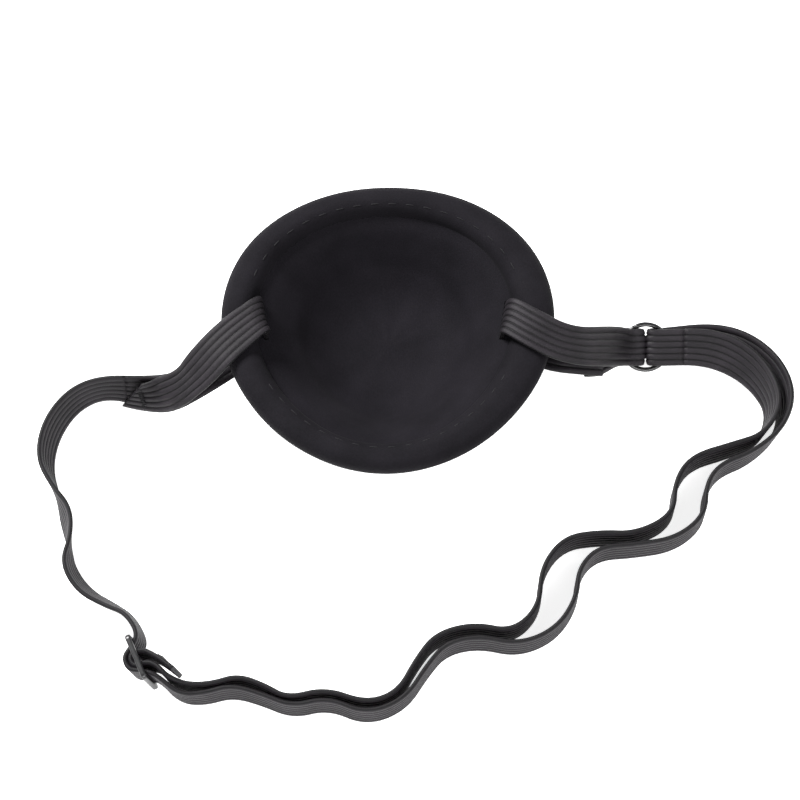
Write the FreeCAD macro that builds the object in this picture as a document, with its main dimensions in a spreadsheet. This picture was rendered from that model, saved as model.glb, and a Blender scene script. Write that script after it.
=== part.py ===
"""Moulded concave eye patch with an adjustable elastic head strap.

Millimetres, +Z up. The patch lies on the lowest point of its dome with its hollow side up, and the
strap lies on the same surface, standing on its edge. The origin is on that surface, under the middle
of the patch. +X runs across the patch to the strap's ring, and -Y towards the strap's slide.
"""
import FreeCAD, Part
import Sketcher
import math
import os

from FreeCAD import Placement, Rotation, Vector

SIZES = {
    # the patch's outline, as a radius that changes with the angle from +X
    "mean_radius": 39.3, "oval": 1.45, "egg": 0.9, "lift": 1.0, "skew": 0.2,
    # how far the lining's seam lies inside the outline, and the same for the angle
    "seam_inset": 8.45, "inset_right": 0.9, "inset_sides": 1.05,
    # the padded rim
    "rim_bottom": 17.0, "rim_top": 23.4, "binding_thick": 0.6,
    # the dish and its three layers
    "seam_height": 19.5, "dome_shift": 2.0, "lining_thick": 0.5, "foam_thick": 2.3, "cover_thick": 0.8,
    # the two slots for the strap
    "slot_long": 12.0, "slot_wide": 1.9, "slot_deep": 9.0, "slot_left": -30.6, "slot_right": 28.6,
    "slot_along": 2.8, "slot_slant": 9.7,
    # the seam's stitches, and how far from the patch's middle line the strap leaves room for them
    "stitch_long": 2.2, "stitch_pitch": 4.4, "thread_radius": 0.18, "stitch_place": 0.74,
    "stitch_gap": 13.0,
    # the elastic
    "strap_wide": 10.0, "strap_thick": 1.2,
    # its folds round the ring: they are gathered, and lie to both sides of the ring's middle
    "ring_fold_wide": 9.2, "fold_radius": 1.5, "fold_gap": 2.3,
    # its end round the slide's middle bar
    "loop_radius": 1.6, "loop_turn": -250.0,
    # the round ring, and how far its plane leans back from upright
    "ring_radius": 5.7, "ring_wire": 0.6, "ring_lean": 60.0,
    # the adjusting slide: its window is the strap's width and a little more
    "slide_long": 11.8, "slide_wide": 13.2, "slide_bar": 1.3, "slide_corner": 1.2, "slide_round": 0.4,
    "slide_heading": -66.4, "slide_lean": -9.0,
    # the sewn bars that hold the folded ends, and their clearance from the elastic
    "tack_wide": 7.6, "tack_long": 1.3, "tack_thick": 0.3, "tack_clear": 0.2,
}
# Near enough to a face to count as on it.
TINY = 0.05
# The share of a corner's shorter run that its arc takes up, and the arc's steps in degrees.
ARC_REACH = 0.45
ARC_STEP = 14
# How many points an outline is drawn through, and the angle of the first one, clear of both slots.
OUTLINE_POINTS = 28
OUTLINE_START = math.radians(-80)

# The dish's inner surface, from the seam to the floor: the share of the seam's radius across and
# along, the height, and the way outwards through the layers, as its level and downward parts.
DISH = [
    (1.00, 1.00, 19.5, 1.00, 0.00),
    (0.87, 0.90, 17.3, 0.72, 0.69),
    (0.71, 0.77, 12.6, 0.88, 0.47),
    (0.60, 0.64, 8.0, 0.85, 0.53),
    (0.44, 0.46, 4.7, 0.50, 0.87),
    (0.20, 0.20, 3.6, 0.00, 1.00),
]
# The padded rim's outside, from its underside to its crown, and its inner slope down to the seam:
# the share of the seam's inset, and the height.
RIM_OUTSIDE = [
    (0.27, 17.0), (0.10, 17.9), (0.01, 19.3), (0.00, 20.5), (0.06, 21.9), (0.19, 22.9), (0.38, 23.4),
]
RIM_INSIDE = [(1.00, 19.5), (0.95, 21.2), (0.80, 22.6), (0.58, 23.4)]

# Strap routes: the middle line's points, and the lean of the standing band in degrees. At 0 it
# stands on its edge, and at a positive lean its top edge leans to the left of the way it runs.
LEFT_RUN = [
    (-70.4, -9.2, 5.2, -10), (-78.0, -12.6, 5.1, -14), (-83.2, -20.4, 5.1, -18),
    (-84.6, -29.5, 5.1, -16), (-81.4, -37.0, 5.1, -4), (-78.4, -43.2, 5.1, 20), (-77.2, -50.0, 5.1, 8),
    (-77.4, -56.5, 5.1, -16), (-73.2, -62.8, 5.1, -22), (-66.6, -66.4, 5.3, -20), (-61.8, -69.4, 6.4, -12),
]
OUTER_RUN = [
    (-49.2, -89.4, 5.8, -4), (-43.5, -89.4, 5.2, 0), (-37.0, -87.4, 5.1, 0), (-30.0, -89.4, 5.1, 0),
    (-22.5, -92.6, 5.1, 0), (-14.0, -90.4, 5.1, 0), (-5.0, -94.4, 5.1, 0), (4.2, -90.8, 5.1, 0),
    (9.6, -82.2, 5.1, 0), (14.0, -77.0, 5.1, 0), (22.0, -75.2, 5.1, 0), (31.4, -77.4, 5.1, 0),
    (40.4, -73.4, 5.1, 0), (45.4, -65.6, 5.1, 0), (46.0, -58.2, 5.1, 0), (51.0, -52.8, 5.1, 0),
    (60.0, -52.2, 5.1, 0), (69.8, -50.6, 5.1, 0), (77.0, -44.6, 5.1, 0), (77.6, -36.6, 5.1, 0),
    (81.2, -31.4, 5.1, 0), (89.2, -28.2, 5.1, -2), (96.8, -21.4, 5.2, -8), (99.0, -12.8, 5.2, -18),
    (95.8, -4.8, 4.9, -30), (89.0, 1.2, 4.3, -44), (80.4, 3.6, 3.7, -56),
]
INNER_RUN = [
    (79.6, 1.2, 5.9, 56), (87.4, -2.0, 5.7, 44), (93.2, -7.8, 5.4, 30), (96.0, -15.2, 5.2, 16),
    (92.2, -23.2, 5.1, 6), (84.4, -26.2, 5.1, 0), (74.2, -29.4, 5.1, 0), (70.0, -35.8, 5.1, 0),
    (69.4, -44.4, 5.1, 0), (60.2, -49.4, 5.1, 0), (51.4, -49.0, 5.1, 0), (42.6, -50.4, 5.1, 0),
    (37.0, -58.0, 5.1, 0), (36.4, -67.8, 5.1, 0), (29.8, -74.2, 5.1, 0), (20.8, -72.2, 5.1, 0),
    (11.6, -74.6, 5.1, 0), (6.8, -81.0, 5.1, 0), (2.6, -89.0, 5.1, 0), (-5.0, -91.8, 5.1, 0),
    (-14.6, -88.2, 5.1, 0), (-23.6, -90.6, 5.1, 0), (-29.0, -87.4, 5.1, 0), (-35.5, -85.0, 5.1, 0),
    (-41.5, -87.0, 5.2, 0), (-47.4, -87.0, 5.8, 4),
]
# The loops through the slots: the middle line's points, and the way across the band.
LEFT_LOOP = [
    ((-63.4, -12.1, 6.4), (0.0, 0.21, 0.98)), ((-57.6, -13.6, 8.4), (0.0, 0.50, 0.87)),
    ((-51.0, -13.8, 14.2), (0.0, 0.94, 0.34)), ((-46.0, -11.4, 20.6), (-0.55, 0.83, 0.10)),
    ((-41.0, -7.0, 24.2), (-0.60, 0.80, 0.0)), ((-35.8, -2.2, 24.8), (-0.60, 0.80, 0.0)),
    ((-30.4, 2.5, 24.2), (-0.20, 0.98, 0.0)), ((-30.6, 2.8, 19.4), (-0.17, 0.98, 0.0)),
    ((-30.6, 2.8, 15.2), (-0.17, 0.98, 0.0)), ((-32.6, 0.8, 12.4), (-0.40, 0.92, 0.0)),
    ((-37.6, -4.0, 13.2), (-0.60, 0.80, 0.0)), ((-42.4, -8.4, 15.4), (-0.60, 0.80, 0.0)),
    ((-47.4, -12.0, 16.2), (-0.55, 0.83, 0.10)), ((-52.6, -13.4, 11.0), (0.0, 0.94, 0.34)),
    ((-59.0, -11.4, 6.4), (0.0, 0.50, 0.87)),
]
ANCHOR_OUT = [
    ((52.6, -4.0, 12.0), (0.0, 0.96, 0.28)), ((46.6, -5.6, 16.2), (0.20, 0.97, 0.10)),
    ((40.4, -4.6, 15.6), (0.35, 0.93, 0.0)), ((34.4, -0.8, 13.0), (0.40, 0.90, 0.0)),
    ((30.2, 2.2, 12.2), (0.25, 0.96, 0.0)), ((28.6, 2.8, 15.2), (0.17, 0.98, 0.0)),
    ((28.6, 2.8, 19.6), (0.17, 0.98, 0.0)), ((29.6, 2.2, 23.4), (0.30, 0.95, 0.0)),
    ((34.6, -1.6, 24.8), (0.45, 0.89, 0.0)), ((41.0, -5.0, 24.2), (0.30, 0.95, 0.0)),
    ((47.0, -5.4, 21.4), (0.05, 0.99, 0.10)), ((53.0, -2.8, 15.4), (-0.10, 0.95, 0.30)),
    ((57.6, -0.2, 9.4), (-0.05, 0.90, 0.43)),
]
ANCHOR_RETURN = [
    ((57.2, 2.2, 3.6), (0.0, 0.87, 0.50)), ((53.6, -1.4, 7.4), (0.0, 0.93, 0.37)),
    ((51.6, -3.4, 10.0), (0.0, 0.96, 0.28)), ((48.4, -4.6, 12.6), (0.10, 0.96, 0.20)),
]

# Where the ring and the slide lie.
RING_MIDDLE = Vector(64.4, 1.6, 4.7)
SLIDE_MIDDLE = Vector(-58.6, -81.0, 6.9)
# The strap's way through the slide: along it, and off its plane towards the inside of the loop.
WEAVE = [(-5.4, 2.4), (-3.1, -0.4), (-1.6, -2.95), (1.6, -2.95), (3.1, -0.4), (5.3, 2.4)]
END_TAIL = [(6.4, 4.4), (3.4, 3.6)]
END_RETURN = [(0.4, 3.5), (3.0, 5.3), (6.0, 6.8)]


def make_sheet(doc):
    """The spreadsheet of driving sizes, one row for each."""
    sheet = doc.addObject("Spreadsheet::Sheet", "Sizes")
    for row, (name, value) in enumerate(SIZES.items(), start=1):
        sheet.set(f"A{row}", name)
        sheet.set(f"B{row}", str(value))
        sheet.setAlias(f"B{row}", name)
    doc.recompute()
    return sheet


def feature(doc, label, shape):
    """A sub-part whose shape is set here, because no feature of the tree makes it."""
    item = doc.addObject("Part::Feature", label)
    item.Label = label
    item.Shape = shape
    item.Placement = Placement()
    return item


# ---------------------------------------------------------------- the patch

def outline_radius(sheet, angle):
    return (sheet.mean_radius + sheet.lift * math.sin(angle) + sheet.oval * math.cos(2 * angle)
            + sheet.skew * math.sin(2 * angle) + sheet.egg * math.sin(3 * angle))


def seam_inset(sheet, angle):
    return sheet.seam_inset + sheet.inset_right * math.cos(angle) + sheet.inset_sides * math.cos(2 * angle)


def closed_curve(point_at):
    """A smooth closed wire through the points that point_at gives for evenly spaced angles."""
    angles = [OUTLINE_START + 2 * math.pi * step / OUTLINE_POINTS for step in range(OUTLINE_POINTS)]
    curve = Part.BSplineCurve()
    curve.interpolate([point_at(angle) for angle in angles], PeriodicFlag=True)
    return Part.Wire([curve.toShape()])


def rim_wire(sheet, share, height, margin=0.0):
    def point_at(angle):
        radius = outline_radius(sheet, angle) - share * seam_inset(sheet, angle) - margin
        return Vector(radius * math.cos(angle), radius * math.sin(angle), height)
    return closed_curve(point_at)


def dish_wire(sheet, level, depth):
    across, along, height, level_part, down_part = level
    drop = (sheet.seam_height - height) / (sheet.seam_height - DISH[-1][2])

    def point_at(angle):
        radius = outline_radius(sheet, angle) - seam_inset(sheet, angle)
        out = depth * level_part
        x = (across * radius + out) * math.cos(angle)
        y = (along * radius + out) * math.sin(angle) + sheet.dome_shift * drop
        return Vector(x, y, height - depth * down_part)
    return closed_curve(point_at)


def dish_solid(sheet, depth):
    """Everything inside the dish's surface, at a depth outwards from the lining's face."""
    return Part.makeLoft([dish_wire(sheet, level, depth) for level in DISH], True, False)


def rim_solid(sheet, margin):
    """The padded rim without the dish, shrunk all round by a margin."""
    middle = (sheet.rim_top + sheet.rim_bottom) / 2
    squash = 1 - 2 * margin / (sheet.rim_top - sheet.rim_bottom)
    outer = [rim_wire(sheet, share, middle + (z - middle) * squash, margin) for share, z in RIM_OUTSIDE]
    crown = middle + (RIM_INSIDE[-1][1] - middle) * squash
    inner = [rim_wire(sheet, share, sheet.seam_height + (z - sheet.seam_height)
                      * (crown - sheet.seam_height) / (RIM_INSIDE[-1][1] - sheet.seam_height), -margin)
             for share, z in RIM_INSIDE]
    foot = [rim_wire(sheet, RIM_INSIDE[0][0], z, -margin) for z in (sheet.rim_bottom - 1, sheet.seam_height)]
    rim = Part.makeLoft(outer, True, False)
    return rim.cut(Part.makeLoft(inner, True, False)).cut(Part.makeLoft(foot, True, True))


def make_slots(doc, sheet):
    """The two slanted cutters for the strap's slots."""
    tools = []
    for side, across, lean in (("left", sheet.slot_left, sheet.slot_slant),
                               ("right", sheet.slot_right, -sheet.slot_slant)):
        tool = doc.addObject("Part::Box", f"slot_{side}_cutter")
        tool.setExpression("Length", "Sizes.slot_wide")
        tool.setExpression("Width", "Sizes.slot_long")
        tool.setExpression("Height", "Sizes.slot_deep")
        middle = Vector(across, sheet.slot_along, sheet.rim_bottom)
        half = Vector(sheet.slot_wide, sheet.slot_long, sheet.slot_deep) / 2
        tool.Placement = Placement(middle - half, Rotation(Vector(0, 0, 1), lean), half)
        tools.append(tool)
    cutter = doc.addObject("Part::Compound", "slot_cutters")
    cutter.Links = tools
    return cutter


def make_patch(doc, sheet):
    """Lining, foam and cover, each with both slots, and the padded rim with its binding."""
    slots = make_slots(doc, sheet)
    depths = [0.0, sheet.lining_thick, sheet.lining_thick + sheet.foam_thick,
              sheet.lining_thick + sheet.foam_thick + sheet.cover_thick]
    filled = [dish_solid(sheet, depth) for depth in depths]
    nodes = []
    for label, inside, outside in zip(("inner_lining", "foam_core", "outer_cover"), filled, filled[1:]):
        blank = feature(doc, f"{label}_blank", outside.cut(inside))
        layer = doc.addObject("Part::Cut", label)
        layer.Label = label
        layer.Base = blank
        layer.Tool = slots
        nodes.append(layer)
    whole = rim_solid(sheet, 0.0).cut(filled[-1])
    padding = rim_solid(sheet, sheet.binding_thick).cut(filled[-1])
    nodes.append(feature(doc, "rim_padding", padding))
    nodes.append(feature(doc, "rim_binding", whole.cut(padding)))
    nodes.append(feature(doc, "rim_topstitching", stitches(sheet)))
    return nodes


def stitches(sheet):
    """The row of single stitches on the rim's inner slope, left out where the strap covers it."""
    share = sheet.stitch_place
    (low_share, low_z), (high_share, high_z) = RIM_INSIDE[2], RIM_INSIDE[3]
    slope = (low_share - share) / (low_share - high_share)
    height = low_z + (high_z - low_z) * slope + sheet.thread_radius + sheet.tack_clear
    round_length = 2 * math.pi * (sheet.mean_radius - share * sheet.seam_inset)
    count = round(round_length / sheet.stitch_pitch)
    solids = []
    for step in range(count):
        angle = 2 * math.pi * step / count
        radius = outline_radius(sheet, angle) - share * seam_inset(sheet, angle)
        middle = Vector(radius * math.cos(angle), radius * math.sin(angle), height)
        if abs(middle.y) < sheet.stitch_gap and abs(middle.x) > sheet.mean_radius / 2:
            continue
        along = Vector(-math.sin(angle), math.cos(angle), 0)
        start = middle - along * (sheet.stitch_long / 2)
        solids.append(Part.makeCylinder(sheet.thread_radius, sheet.stitch_long, start, along))
    return Part.makeCompound(solids)


# ---------------------------------------------------------------- the elastic

def lean_across(points):
    """The way across a standing band at each (x, y, z, lean) point."""
    routes = [Vector(*point[:3]) for point in points]
    across = []
    for index, point in enumerate(points):
        before = routes[max(index - 1, 0)]
        after = routes[min(index + 1, len(routes) - 1)]
        run = Vector(after.x - before.x, after.y - before.y, 0).normalize()
        left = Vector(-run.y, run.x, 0)
        lean = math.radians(point[3])
        across.append(Vector(0, 0, 1) * math.cos(lean) + left * math.sin(lean))
    return list(zip(routes, across))


def corner_arc(before, point, after):
    """The tangent arc at a corner of the route: its middle line's points and its radius."""
    back = before - point
    ahead = after - point
    reach = ARC_REACH * min(back.Length, ahead.Length)
    back.normalize()
    ahead.normalize()
    half_turn = (math.pi - back.getAngle(ahead)) / 2
    radius = reach / math.tan(half_turn)
    middle = point + (back + ahead).normalize() * (radius / math.cos(half_turn))
    steps = max(2, math.ceil(2 * half_turn / math.radians(ARC_STEP)))
    start = point + back * reach - middle
    axis = start.cross(point + ahead * reach - middle)
    return [middle + Rotation(axis, math.degrees(2 * half_turn) * step / steps).multVec(start)
            for step in range(steps + 1)], radius


def band_stations(route):
    """Straight runs and tangent arcs along the route, as (point, across) pairs, and the arcs' radii."""
    stations = [route[0]]
    radii = []
    for before, corner, after in zip(route, route[1:], route[2:]):
        arc, radius = corner_arc(before[0], corner[0], after[0])
        radii.append(radius)
        for step, point in enumerate(arc):
            turn = ARC_REACH * (2 * step / (len(arc) - 1) - 1)
            other = after[1] if turn > 0 else before[1]
            stations.append((point, corner[1] * (1 - abs(turn)) + other * abs(turn)))
    stations.append(route[-1])
    return stations, radii


def halfway(first, second):
    """Where two lengths of the strap meet: the middle of a straight run."""
    return (first[0] + second[0]) / 2, (first[1] + second[1]) / 2


def bend(middle, start, axis, turn, across, steps=6):
    """Stations round a fold: from start, turning about an axis through the middle."""
    return [(middle + Rotation(axis, turn * step / steps).multVec(start - middle), across)
            for step in range(steps + 1)]


def band(stations, thick, widths):
    """A ruled solid of rectangular section through the stations, and its middle line's length."""
    wires = []
    length = 0.0
    for index, (point, across) in enumerate(stations):
        before = stations[max(index - 1, 0)][0]
        after = stations[min(index + 1, len(stations) - 1)][0]
        run = (after - before).normalize()
        wide = (across - run * across.dot(run)).normalize() * (widths[index] / 2)
        deep = run.cross(wide).normalize() * (thick / 2)
        corners = [point + wide + deep, point - wide + deep, point - wide - deep, point + wide - deep]
        wires.append(Part.makePolygon(corners + corners[:1]))
        length += (point - before).Length
    return Part.makeLoft(wires, True, True), length


def strap_piece(doc, sheet, label, stations, narrow=()):
    """One length of elastic; narrow holds the stations where the ring gathers it."""
    widths = [sheet.ring_fold_wide if index in narrow else sheet.strap_wide for index in range(len(stations))]
    solid, length = band(stations, sheet.strap_thick, widths)
    share = solid.Volume / (length * sheet.strap_thick * sheet.strap_wide)
    print(f"{label}: {length:.1f} mm long, volume {share:.3f} of its section times its length")
    return feature(doc, label, solid)


def as_route(rows):
    """A table's points and ways across, as vectors."""
    return [(Vector(*point), Vector(*across)) for point, across in rows]


def ring_frame(sheet):
    """The ring's way up its leaning plane, and its normal on the strap's inner side."""
    lean = math.radians(sheet.ring_lean)
    up = Vector(0, math.sin(lean), math.cos(lean))
    return up, Vector(1, 0, 0).cross(up)


def slide_frame(sheet):
    """The slide's way along the strap, across it, and towards the inside of the strap's loop."""
    turn = math.radians(sheet.slide_heading)
    along = Vector(math.cos(turn), math.sin(turn), 0)
    left = Vector(-along.y, along.x, 0)
    lean = math.radians(sheet.slide_lean)
    across = Vector(0, 0, 1) * math.cos(lean) + left * math.sin(lean)
    return along, across, across.cross(along)


def by_slide(sheet, pairs):
    """Points given along the slide and off its plane."""
    along, across, inside = slide_frame(sheet)
    return [(SLIDE_MIDDLE + along * run + inside * off, across) for run, off in pairs]


def ring_fold(sheet, side):
    """The fold round one side of the ring: side is -1 for the anchor loop and 1 for the main strap."""
    up, normal = ring_frame(sheet)
    middle = RING_MIDDLE + Vector(side * sheet.fold_gap, 0, 0)
    start = middle - normal * (sheet.fold_radius * side)
    return bend(middle, start, up, 180, up)


def make_elastic(doc, sheet):
    """All lengths of the elastic, in the order in which the strap runs."""
    radii = {}
    nodes = []

    def add_length(label, route, fold=(), last=()):
        stations, radii[label] = band_stations(route)
        narrow = range(len(stations), len(stations) + len(fold))
        nodes.append(strap_piece(doc, sheet, label, stations + list(fold) + list(last), narrow))

    loop = as_route(LEFT_LOOP)
    left = lean_across(LEFT_RUN)
    weave = by_slide(sheet, WEAVE)
    outer = lean_across(OUTER_RUN)
    fold = ring_fold(sheet, 1)
    inner = lean_across(INNER_RUN)
    tail = by_slide(sheet, END_TAIL)
    ends = [halfway(first[-1], second[0])
            for first, second in ((loop, left), (left, weave), (weave, outer), (fold, inner), (inner, tail))]
    add_length("left_slot_loop", loop + ends[0:1])
    add_length("strap_left_run", ends[0:1] + left + ends[1:2])
    add_length("strap_slide_weave", ends[1:2] + weave + ends[2:3])
    add_length("strap_outer_layer", ends[2:3] + outer + fold[:1], fold[1:], ends[3:4])
    add_length("strap_inner_layer", ends[3:4] + inner + ends[4:5])
    make_end_loop(doc, sheet, ends[4:5] + tail, nodes, radii)
    make_anchor(doc, sheet, nodes, radii)
    for label, values in radii.items():
        print(f"{label} radii:", " ".join(f"{value:.1f}" for value in values))
    return nodes


def make_end_loop(doc, sheet, tail, nodes, radii):
    """The strap's end round the slide's middle bar and back over itself."""
    along, across, inside = slide_frame(sheet)
    start = SLIDE_MIDDLE + along * sheet.loop_radius
    approach = [(start + inside * sheet.loop_radius, across), (start, across)]
    there, radii["strap_end_loop"] = band_stations(tail + approach)
    turn = bend(SLIDE_MIDDLE, start, across, sheet.loop_turn, across, 10)
    back, more = band_stations(turn[-1:] + by_slide(sheet, END_RETURN))
    radii["strap_end_loop"] += more
    nodes.append(strap_piece(doc, sheet, "strap_end_loop", there + turn[1:-1] + back))


def make_anchor(doc, sheet, nodes, radii):
    """The short loop from the right slot to the ring, its ends lapped on the underside."""
    fold = ring_fold(sheet, -1)
    there, radii["anchor_loop"] = band_stations(as_route(ANCHOR_OUT) + fold[:1])
    back, more = band_stations(fold[-1:] + as_route(ANCHOR_RETURN))
    radii["anchor_loop"] += more
    turn = fold[1:-1]
    narrow = range(len(there), len(there) + len(turn))
    nodes.append(strap_piece(doc, sheet, "anchor_loop", there + turn + back, narrow))


# ---------------------------------------------------------------- hardware and thread

def make_ring(doc, sheet):
    """The round ring that joins the anchor loop to the main strap."""
    ring = doc.addObject("Part::Torus", "o_ring")
    ring.Label = "o_ring"
    ring.setExpression("Radius1", "Sizes.ring_radius")
    ring.setExpression("Radius2", "Sizes.ring_wire")
    up, normal = ring_frame(sheet)
    ring.Placement = Placement(RING_MIDDLE, Rotation(Vector(1, 0, 0), up, normal, "ZXY"))
    return ring


def add_rectangle(sketch, name, low, high, across):
    """A rectangle in the sketch whose four edges are bound to expressions."""
    first = sketch.GeometryCount
    corners = [Vector(-1, -1, 0), Vector(1, -1, 0), Vector(1, 1, 0), Vector(-1, 1, 0)]
    for index in range(4):
        sketch.addGeometry(Part.LineSegment(corners[index], corners[(index + 1) % 4]), False)
    for index in range(4):
        following = first + (index + 1) % 4
        sketch.addConstraint(Sketcher.Constraint("Coincident", first + index, 2, following, 1))
    for index in (0, 2):
        sketch.addConstraint(Sketcher.Constraint("Horizontal", first + index))
        sketch.addConstraint(Sketcher.Constraint("Vertical", first + index + 1))
    edges = (("low", first, 1, "DistanceX", low), ("high", first + 1, 1, "DistanceX", high),
             ("bottom", first, 1, "DistanceY", f"-({across})"), ("top", first + 2, 1, "DistanceY", across))
    for edge, line, end, kind, size in edges:
        start = sketch.getPoint(line, end)
        value = start.x if kind == "DistanceX" else start.y
        number = sketch.addConstraint(Sketcher.Constraint(kind, -1, 1, line, end, value))
        sketch.renameConstraint(number, f"{name}_{edge}")
        sketch.setExpression(f"Constraints.{name}_{edge}", size)


def make_slide(doc, sheet):
    """The adjusting slide: a plate with two windows and a middle bar between them."""
    body = doc.addObject("PartDesign::Body", "adjuster_slide")
    body.Label = "adjuster_slide"
    plane = next(item for item in body.Origin.OriginFeatures if item.Role == "XY_Plane")
    plan = body.newObject("Sketcher::SketchObject", "slide_plan")
    plan.AttachmentSupport = [(plane, "")]
    plan.MapMode = "FlatFace"
    add_rectangle(plan, "plate", "-Sizes.slide_long / 2", "Sizes.slide_long / 2", "Sizes.slide_wide / 2")
    near = "Sizes.slide_bar / 2"
    far = "Sizes.slide_long / 2 - Sizes.slide_bar"
    inner = "Sizes.slide_wide / 2 - Sizes.slide_bar"
    add_rectangle(plan, "ahead", near, far, inner)
    add_rectangle(plan, "behind", f"-({far})", f"-({near})", inner)
    plate = body.newObject("PartDesign::Pad", "slide_plate")
    plate.Profile = plan
    plate.SideType = "Symmetric"
    plate.setExpression("Length", "Sizes.slide_bar")
    doc.recompute()
    corners = body.newObject("PartDesign::Fillet", "slide_corners")
    corners.Base = (plate, upright_corners(sheet, plate.Shape))
    corners.setExpression("Radius", "Sizes.slide_corner")
    doc.recompute()
    edges = body.newObject("PartDesign::Fillet", "slide_edges")
    edges.Base = (corners, face_edges(sheet, corners.Shape))
    edges.setExpression("Radius", "Sizes.slide_round")
    along, across, _ = slide_frame(sheet)
    body.Placement = Placement(SLIDE_MIDDLE, Rotation(along, across, along.cross(across), "ZXY"))
    return body


def upright_corners(sheet, shape):
    """The names of the plate's four outer upright edges."""
    return [f"Edge{number}" for number, edge in enumerate(shape.Edges, start=1)
            if edge.BoundBox.ZLength > sheet.slide_bar - TINY
            and abs(edge.CenterOfMass.x) > sheet.slide_long / 2 - TINY
            and abs(edge.CenterOfMass.y) > sheet.slide_wide / 2 - TINY]


def face_edges(sheet, shape):
    """The names of the edges round the plate's two faces."""
    return [f"Edge{number}" for number, edge in enumerate(shape.Edges, start=1)
            if abs(abs(edge.BoundBox.ZMin) - sheet.slide_bar / 2) < TINY and edge.BoundBox.ZLength < TINY]


def make_tack(doc, sheet, label, ends, share, side):
    """A sewn bar across a band, lying on one of its faces at a share of one of its runs."""
    (start, first_across), (end, last_across) = ends
    run = (end - start).normalize()
    across = first_across * (1 - share) + last_across * share
    across = (across - run * across.dot(run)).normalize()
    out = run.cross(across)
    tack = doc.addObject("Part::Box", label)
    tack.Label = label
    tack.setExpression("Length", "Sizes.tack_long")
    tack.setExpression("Width", "Sizes.tack_wide")
    tack.setExpression("Height", "Sizes.tack_thick")
    offset = sheet.strap_thick / 2 + sheet.tack_clear + (sheet.tack_thick if side < 0 else 0)
    middle = start + (end - start) * share + out * (side * offset)
    corner = middle - run * (sheet.tack_long / 2) - across * (sheet.tack_wide / 2)
    tack.Placement = Placement(corner, Rotation(run, across, out, "ZXY"))
    return tack


def make_tacks(doc, sheet):
    """The three sewn bars, each on the outer face of a folded end."""
    return [
        make_tack(doc, sheet, "left_bartack", as_route(LEFT_LOOP[:2]), 0.5, 1),
        make_tack(doc, sheet, "anchor_bartack", as_route(ANCHOR_RETURN[-2:]), 0.6, 1),
        make_tack(doc, sheet, "strap_end_bartack", by_slide(sheet, END_RETURN[:2]), 0.6, -1),
    ]


def check(doc, nodes):
    """Stops if any object failed, or a sub-part has no valid shape."""
    for item in doc.Objects:
        if "Invalid" in item.State or "Error" in item.State:
            raise RuntimeError(f"{item.Label} failed: {item.State}")
    for node in nodes:
        if node.Shape.isNull() or not node.Shape.isValid() or node.Shape.Volume <= 0:
            raise RuntimeError(f"{node.Label} has no valid shape")


doc = FreeCAD.newDocument("eye_patch")
sheet = make_sheet(doc)
nodes = make_patch(doc, sheet) + make_elastic(doc, sheet)
nodes += [make_ring(doc, sheet), make_slide(doc, sheet)] + make_tacks(doc, sheet)
doc.recompute()
check(doc, nodes)
os.makedirs("parts", exist_ok=True)
for node in nodes:
    node.Shape.exportStep(f"parts/{node.Label}.step")
    box = node.Shape.BoundBox
    print(f"{node.Label}: {node.Shape.Volume:.1f} mm3, x {box.XMin:.1f}..{box.XMax:.1f},",
          f"y {box.YMin:.1f}..{box.YMax:.1f}, z {box.ZMin:.2f}..{box.ZMax:.2f}")
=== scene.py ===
"""Looks for a moulded concave eye patch on an elastic head strap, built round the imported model.

Metres, +Z up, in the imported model's own frame. The patch lies on its dome with the hollow side up, and
the strap lies on the same surface, standing on its edge.
"""
import math

import bmesh
import bpy
import numpy as np
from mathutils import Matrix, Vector


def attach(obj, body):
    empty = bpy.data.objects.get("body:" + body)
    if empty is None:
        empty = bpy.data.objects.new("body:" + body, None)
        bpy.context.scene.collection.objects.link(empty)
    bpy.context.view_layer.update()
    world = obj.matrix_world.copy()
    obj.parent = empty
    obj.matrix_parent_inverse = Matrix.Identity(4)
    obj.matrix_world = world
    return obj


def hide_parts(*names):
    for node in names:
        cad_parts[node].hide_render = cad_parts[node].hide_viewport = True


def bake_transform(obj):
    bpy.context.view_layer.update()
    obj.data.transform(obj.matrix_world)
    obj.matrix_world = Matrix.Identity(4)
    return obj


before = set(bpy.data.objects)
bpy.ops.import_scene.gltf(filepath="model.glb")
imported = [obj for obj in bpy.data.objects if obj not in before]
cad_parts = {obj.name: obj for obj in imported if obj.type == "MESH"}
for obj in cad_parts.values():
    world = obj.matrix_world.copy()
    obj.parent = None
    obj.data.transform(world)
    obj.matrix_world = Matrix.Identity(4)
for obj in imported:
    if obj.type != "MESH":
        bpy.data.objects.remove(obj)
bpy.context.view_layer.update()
MM = 0.001

# ------------------------------------------------------------------ driving sizes

STRAP_WIDE = 10.0 * MM
STRAP_THICK = 1.2 * MM
RIBS = 6
GROOVE_DEEP = 0.27 * MM
GROOVE_WIDE = 0.26 * MM
PICK_PITCH = 0.42 * MM
YARN_PITCH = 0.36 * MM
# Points along each span of a strap's route, and round its edge.
SPAN_STEPS = 10
EDGE_STEPS = 5

RING_MIDDLE = Vector((0.0644, 0.0016, 0.0047))
RING_LEAN = math.radians(60)
RING_RADIUS = 5.7 * MM
RING_WIRE = 0.6 * MM
FOLD_RADIUS = 1.5 * MM
FOLD_GAP = 2.3 * MM
# How much of its width the band keeps where the ring gathers it.
GATHER = 0.92
# How far from the ring's middle a fold swells, and by how much.
FOLD_REACH = 2.4 * MM
FOLD_BULGE = 0.72 * MM

SLIDE_MIDDLE = Vector((-0.0586, -0.0810, 0.0069))
SLIDE_HEADING = math.radians(-66.4)
SLIDE_LEAN = math.radians(-9)
SLIDE_LONG = 11.8 * MM
SLIDE_WIDE = 13.2 * MM
SLIDE_BAR = 1.3 * MM
LOOP_RADIUS = 1.6 * MM

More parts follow.
